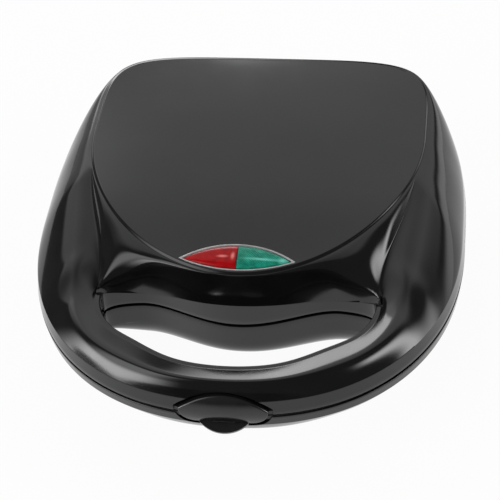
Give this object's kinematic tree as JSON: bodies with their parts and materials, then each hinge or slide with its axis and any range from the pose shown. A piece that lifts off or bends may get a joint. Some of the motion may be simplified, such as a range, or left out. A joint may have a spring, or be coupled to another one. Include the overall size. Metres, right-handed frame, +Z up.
{
  "type": "corn dog maker",
  "caption": "Countertop clamshell cooker with a hinged gloss black lid, pierced handle bar, front latch clip, indicator lenses and capsule moulds with stick grooves.",
  "frame": {"origin": "on the surface that the feet stand on, below the middle of the outer box", "axes": "+X to the right seen from the front, +Y to the rear hinges, +Z up"},
  "size_m": [0.23, 0.254, 0.0815],
  "materials": {
    "gloss_black": "gloss",
    "satin_black": "satin",
    "frame_black": "matt",
    "red_lens": "clear red",
    "green_lens": "clear green",
    "lamp": "clear",
    "ceramic": "matt",
    "plate": "non-stick coat",
    "steel": "bright",
    "sheet": "mill",
    "foot": "matt"
  },
  "bodies": {
    "base": {"base_shell": "gloss_black", "lower_frame": "frame_black", "lower_plate": "plate", "lower_heater": "steel", "lower_reflector": "sheet", "lower_plate_screws": "steel", "thermostat": "ceramic", "thermal_fuse": "ceramic", "terminal_block": "ceramic", "cord_gland": "satin_black", "bottom_cover": "satin_black", "cover_screws": "steel", "hinge_pin_left": "steel", "hinge_pin_right": "steel", "foot_front_left": "foot", "foot_front_right": "foot", "foot_rear_left": "foot", "foot_rear_right": "foot"},
    "lid": {"lid_shell": "gloss_black", "upper_frame": "frame_black", "red_lens": "red_lens", "green_lens": "green_lens", "lamp_holder": "ceramic", "red_lamp": "lamp", "green_lamp": "lamp", "upper_plate": "plate", "upper_heater": "steel", "upper_reflector": "sheet", "upper_plate_screws": "steel", "latch_pin": "steel"},
    "latch": {"latch_clip": "satin_black"}
  },
  "joints": [
    {"name": "lid_hinge", "type": "hinge", "parent": "base", "child": "lid", "pos_m": [0, 0.1225, 0.042], "axis": [-1, 0, 0], "range_deg": [0, 100]},
    {"name": "latch_hinge", "type": "hinge", "parent": "lid", "child": "latch", "pos_m": [0, -0.117, 0.0478], "axis": [-1, 0, 0], "range_deg": [0, 27]}
  ]
}
